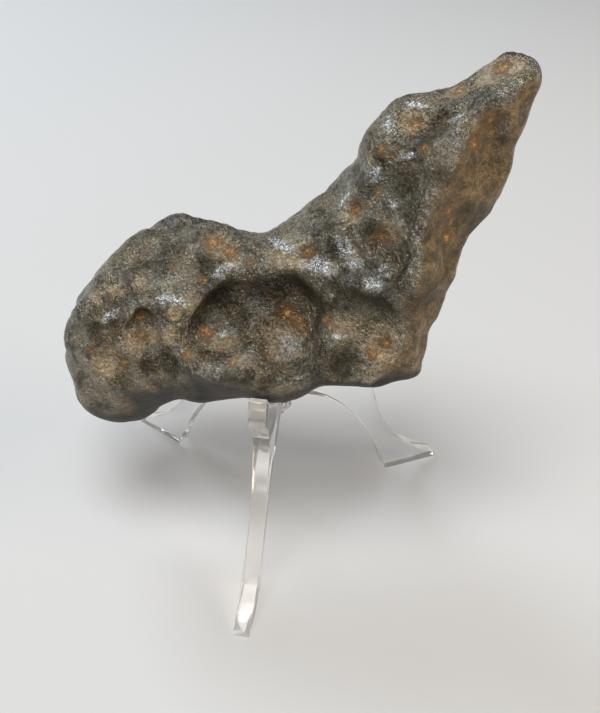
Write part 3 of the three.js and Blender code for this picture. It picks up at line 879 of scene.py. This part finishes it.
class METEORITE_OT_stone(bpy.types.Operator):
    """Makes the stone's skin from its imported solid"""

    bl_idname = "meteorite.stone"
    bl_label = "Make the stone"
    bl_options = {"REGISTER", "UNDO"}

    def execute(self, context):
        settings = context.scene.meteorite_stone
        stone = copy_of_node("meteorite", "meteorite_skin")
        tree = BVHTree.FromObject(stone, context.evaluated_depsgraph_get())
        self.smooth(stone, settings, tree)
        self.sharpen(stone, settings)
        self.carve(stone, tree)
        self.roughen(stone, settings, tree)
        self.keep_clear(stone, tree)
        self.paint(stone, tree)
        stone.data.materials.append(iron_skin(settings))
        only(stone)
        bpy.ops.object.shade_smooth()
        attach(stone, BODY)
        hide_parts("meteorite")
        return {"FINISHED"}

    def smooth(self, stone, settings, tree):
        """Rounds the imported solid's flat triangles into an even, fine mesh of the same size."""
        apply_modifier(stone, "round the triangles", "SUBSURF", levels=2, render_levels=2)
        apply_modifier(stone, "even mesh", "REMESH", mode="VOXEL", voxel_size=settings.mesh_size)
        apply_modifier(stone, "settle", "SMOOTH", factor=0.5, iterations=SETTLE_ROUNDS)
        places, normals = skin_of(stone)
        lag = Neighbours(stone).average(-height_over(tree, places, normals), LAG_ROUNDS)
        set_places(stone, places + normals * lag[:, None])

    def sharpen(self, stone, settings):
        """Lifts each rim and sinks the skin beside it, so that rims and ridges stand crisp."""
        places, normals = skin_of(stone)
        neighbours = Neighbours(stone)
        for rounds, share in SHARPEN_PASSES:
            broad = neighbours.average(places, rounds)
            height = np.clip(((places - broad) * normals).sum(1), -MOST_SINK, MOST_LIFT)
            places = places + normals * (height * share * settings.rim_sharpness)[:, None]
        set_places(stone, places)

    def carve(self, stone, tree):
        """Raises the crests and cuts the grooves of the best side."""
        places, normals = skin_of(stone)
        raised = np.zeros(len(places))
        for pixels, half_width, height in STROKES.values():
            raised += height * MM * stroke_marks(places, pixels, half_width, tree)
        set_places(stone, places + normals * raised[:, None])

    def roughen(self, stone, settings, tree):
        """Lumps, hammered dents, grain and pits, evenly in and out, so that the size stays."""
        places, normals = skin_of(stone)
        calm = step_up(-normals[:, 2], *CALM_FACING_DOWN)
        calm = np.maximum(calm, step_up(normals[:, 0], *CALM_FACING_RIGHT))
        rough = set_weights(stone, "rough skin", 1 - CALM_SHARE * calm)
        pits = set_weights(stone, "rust pits", painted(places, RUST_SPOTS, tree, PIT_SPREAD))

        lumps = relief_texture("slow lumps", "CLOUDS", LUMP_SIZE)
        dents = relief_texture("hammered dents", "VORONOI", DENT_SIZE)
        small_dents = relief_texture("small dents", "VORONOI", SMALL_DENT_SIZE)
        grain = relief_texture("grain", "CLOUDS", GRAIN_SIZE)
        small_depth = settings.dent_depth * SMALL_DENT_SHARE
        displace(stone, "lumps", lumps, settings.lump_depth, EVENLY, rough)
        displace(stone, "dents", dents, settings.dent_depth, DENTS_MIDDLE, rough)
        displace(stone, "small dents", small_dents, small_depth, DENTS_MIDDLE, rough)
        displace(stone, "grain", grain, settings.grain_depth, EVENLY, rough)
        displace(stone, "pits", small_dents, settings.pit_depth, INWARD_ONLY, pits)

    def keep_clear(self, stone, tree):
        """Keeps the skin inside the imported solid's box, and off the stand where it comes near."""
        places, normals = skin_of(stone)
        legs = [BVHTree.FromObject(frame["nodes"][leg], bpy.context.evaluated_depsgraph_get()) for leg in LEGS]
        height = height_over(tree, places, normals)
        low_enough = places[:, 2] < max(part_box(leg)[1][2] for leg in LEGS) + NEAR_STAND
        for n in np.flatnonzero(low_enough & (height > 0)):
            place = Vector(places[n])
            if any(leg.find_nearest(place, NEAR_STAND)[0] is not None for leg in legs):
                places[n] -= normals[n] * height[n]
        low, high = (np.array(corner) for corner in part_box("meteorite"))
        set_places(stone, np.clip(places, low + BOX_MARGIN, high - BOX_MARGIN))

    def paint(self, stone, tree):
        """Marks rust, dust and painted light on hollow floors, rubbed rims and painted highlights, painted
        shade in hollows and under rims, the wing's flank and the underside, for the material.
        """
        places, normals = skin_of(stone)
        neighbours = Neighbours(stone)
        calm_normals = neighbours.average(normals, MIDDLE_ROUNDS)
        calm_normals /= np.linalg.norm(calm_normals, axis=1)[:, None]
        near = neighbours.average(places, NEAR_ROUNDS)
        middle = neighbours.average(places, MIDDLE_ROUNDS)
        wide = neighbours.average(middle, WIDE_ROUNDS)
        crest_height = ((places - near) * normals).sum(1) / MM
        rim_height = ((near - middle) * calm_normals).sum(1) / MM
        depth = ((wide - middle) * calm_normals).sum(1) / MM

        from_axis = (places[:, 0] - STAND_AXIS.x) / MM
        flank = step_up(calm_normals @ np.array(FLANK_DIRECTION), *FACING_FLANK)
        flank = flank * step_up(from_axis, *FLANK_FROM_AXIS)
        underside = step_up(-calm_normals[:, 2], *FACING_DOWN)
        front = step_up(-calm_normals[:, 1], *FACING_FRONT)
        back_rust = step_up(depth, *RUST_DEPTH) * (1 - front) * BACK_RUST
        rust = np.maximum(painted(places, RUST_SPOTS, tree, BLOOM_SPREAD), back_rust)
        dusty_crests = DUSTY_CRESTS * step_up(crest_height, *CREST_HEIGHT)
        # Tan dust, and painted light on the hollows' floors and walls.
        tan = np.maximum(painted(places, TAN_AND_LIT_PATCHES, tree), dusty_crests)
        # Rubbed metal on raised rims, and painted highlights along the marked streaks.
        rubbed = RUBBED_RIMS * step_up(rim_height, *RIM_HEIGHT)
        rim = np.maximum(BRIGHTEST_STREAK * streaked(places, HIGHLIGHT_STREAKS, tree), rubbed)
        # Painted shade: the marked dark places and bands, and a darkening that grows with a hollow's depth.
        hollow = np.maximum(painted(places, PAINTED_SHADE_SPOTS, tree), streaked(places, PAINTED_SHADOW_BANDS, tree))
        hollow = np.maximum(hollow, (BACK_HOLLOW_SHADE - LESS_HOLLOW_SHADE_IN_FRONT * front) * step_up(depth, *HOLLOW_SHADE_DEPTH))
        set_attribute(stone, "flank", flank)
        set_attribute(stone, "underside", underside)
        for name, marks in (("rust", rust), ("tan", tan), ("rim", rim)):
            set_attribute(stone, name, marks * (1 - LOST_UNDERNEATH[name] * underside))
        set_attribute(stone, "hollow", hollow)


# The stand.


class METEORITE_OT_legs(bpy.types.Operator):
    """Makes the stand's three legs, polished sheet with sawn edges"""

    bl_idname = "meteorite.legs"
    bl_label = "Make the stand's legs"
    bl_options = {"REGISTER", "UNDO"}

    def execute(self, context):
        settings = context.scene.meteorite_stand
        finishes = clear_sheet(settings), cut_edge(settings)
        polish = {"width": settings.edge_round, "segments": 2, "limit_method": "ANGLE", "material": 1}
        for node in LEGS:
            leg = copy_of_node(node, node + "_clear")
            for finish in finishes:
                leg.data.materials.append(finish)
            edit_all(leg, bpy.ops.mesh.dissolve_limited, angle_limit=SAME_FACE)
            self.mark_cut_faces(leg)
            apply_modifier(leg, "polished corners", "BEVEL", angle_limit=CORNER_ANGLE, **polish)
            only(leg)
            bpy.ops.object.shade_smooth_by_angle(angle=SMOOTH_ANGLE)
            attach(leg, BODY)
            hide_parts(node)
        return {"FINISHED"}

    def mark_cut_faces(self, leg):
        """Gives the sawn edges their own finish: every face but the sheet's two broad ones."""
        by_area = sorted(leg.data.polygons, key=lambda polygon: polygon.area)
        broad = {polygon.index for polygon in by_area[-2:]}
        for polygon in leg.data.polygons:
            polygon.material_index = 0 if polygon.index in broad else 1


class METEORITE_OT_cement(bpy.types.Operator):
    """Makes the drop of clear cement under the hub"""

    bl_idname = "meteorite.cement"
    bl_label = "Make the cement drop"
    bl_options = {"REGISTER", "UNDO"}

    def execute(self, context):
        drop = copy_of_node("hub_bead", "cement_drop")
        apply_modifier(drop, "round", "SUBSURF", levels=2, render_levels=2)
        folds = relief_texture("cement folds", "VORONOI", FOLD_SIZE)
        displace(drop, "folds", folds, FOLD_DEPTH, INWARD_ONLY)
        drop.data.materials.append(cement(context.scene.meteorite_stand))
        only(drop)
        bpy.ops.object.shade_smooth()
        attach(drop, BODY)
        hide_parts("hub_bead")
        return {"FINISHED"}


# The studio.


class METEORITE_OT_studio(bpy.types.Operator):
    """Sets the floor, the lights and the camera"""

    bl_idname = "meteorite.studio"
    bl_label = "Set the studio"
    bl_options = {"REGISTER", "UNDO"}

    def execute(self, context):
        settings = context.scene.meteorite_studio
        self.lay_floor(settings)
        self.set_sky(context.scene, settings)
        for name, (place, size, colour) in LIGHTS.items():
            self.hang_light(name, place, size, getattr(settings, name + "_power"), colour)
        self.place_camera(context.scene)
        context.scene.view_settings.view_transform = "Standard"
        return {"FINISHED"}

    def lay_floor(self, settings):
        """A pale floor whose tone drifts a little."""
        bpy.ops.object.select_all(action="DESELECT")
        bpy.ops.mesh.primitive_plane_add(size=settings.floor_size, location=(0, 0, -FLOOR_GAP))
        floor = bpy.context.object
        floor.name = "floor"
        material, graph, shader, place = new_material("pale floor")
        clouds = graph.noise(place, FLOOR_CLOUDS)
        darker = [c * FLOOR_DRIFT for c in settings.floor_colour]
        feed(graph, shader, Base_Color=graph.mix(clouds, darker, settings.floor_colour))
        hold(shader, Roughness=0.9)
        floor.data.materials.append(material)

    def set_sky(self, scene, settings):
        """An even light from all round."""
        scene.world = bpy.data.worlds.new("soft sky")
        scene.world.use_nodes = True
        background = scene.world.node_tree.nodes["Background"]
        background.inputs["Color"].default_value = (*settings.sky, 1)
        background.inputs["Strength"].default_value = settings.sky_strength

    def hang_light(self, name, place, size, power, colour):
        """A soft rectangular light that faces the stone."""
        bpy.ops.object.select_all(action="DESELECT")
        turn = (LIGHT_TARGET - Vector(place)).to_track_quat("-Z", "Y").to_euler()
        bpy.ops.object.light_add(type="AREA", location=place, rotation=turn)
        light = bpy.context.object
        light.name = name
        light.data.shape = "RECTANGLE"
        light.data.size, light.data.size_y = size
        light.data.energy = power
        light.data.color = colour

    def place_camera(self, scene):
        """The photograph's camera."""
        right, up, forward = eye_axes()
        turn = Matrix((right, up, -forward)).transposed()
        bpy.ops.object.camera_add(location=STAND_AXIS + EYE, rotation=turn.to_euler())
        camera = bpy.context.object
        camera.name = "camera"
        camera.data.sensor_width = SENSOR
        camera.data.lens = FOCAL_PIXELS / max(PHOTO_WIDE, PHOTO_HIGH) * SENSOR
        camera.data.clip_start = 0.01
        camera.data.clip_end = 20
        scene.camera = camera


class METEORITE_PT_panel(bpy.types.Panel):
    """The meteorite's settings and makers"""

    bl_idname = "METEORITE_PT_panel"
    bl_label = "Meteorite"
    bl_space_type = "VIEW_3D"
    bl_region_type = "UI"
    bl_category = "Meteorite"

    def draw(self, context):
        scene = context.scene
        sections = (
            ("Stone", scene.meteorite_stone, ("meteorite.stone",)),
            ("Stand", scene.meteorite_stand, ("meteorite.legs", "meteorite.cement")),
            ("Studio", scene.meteorite_studio, ("meteorite.studio",)),
        )
        for title, settings, operators in sections:
            box = self.layout.box()
            box.label(text=title)
            for name in settings.bl_rna.properties.keys():
                if name not in {"rna_type", "name"}:
                    box.prop(settings, name)
            for operator in operators:
                box.operator(operator)


SETTINGS = {
    "meteorite_stone": StoneSettings,
    "meteorite_stand": StandSettings,
    "meteorite_studio": StudioSettings,
}
OPERATORS = (METEORITE_OT_studio, METEORITE_OT_stone, METEORITE_OT_legs, METEORITE_OT_cement)
CLASSES = (*SETTINGS.values(), *OPERATORS, METEORITE_PT_panel)


def register():
    for cls in CLASSES:
        bpy.utils.register_class(cls)
    for name, cls in SETTINGS.items():
        setattr(bpy.types.Scene, name, PointerProperty(type=cls))


def unregister():
    for name in SETTINGS:
        delattr(bpy.types.Scene, name)
    for cls in reversed(CLASSES):
        bpy.utils.unregister_class(cls)


def main():
    register()
    bpy.ops.object.select_all(action="DESELECT")
    bpy.ops.meteorite.studio()
    bpy.ops.meteorite.stone()
    bpy.ops.meteorite.legs()
    bpy.ops.meteorite.cement()


if __name__ == "__main__":
    main()
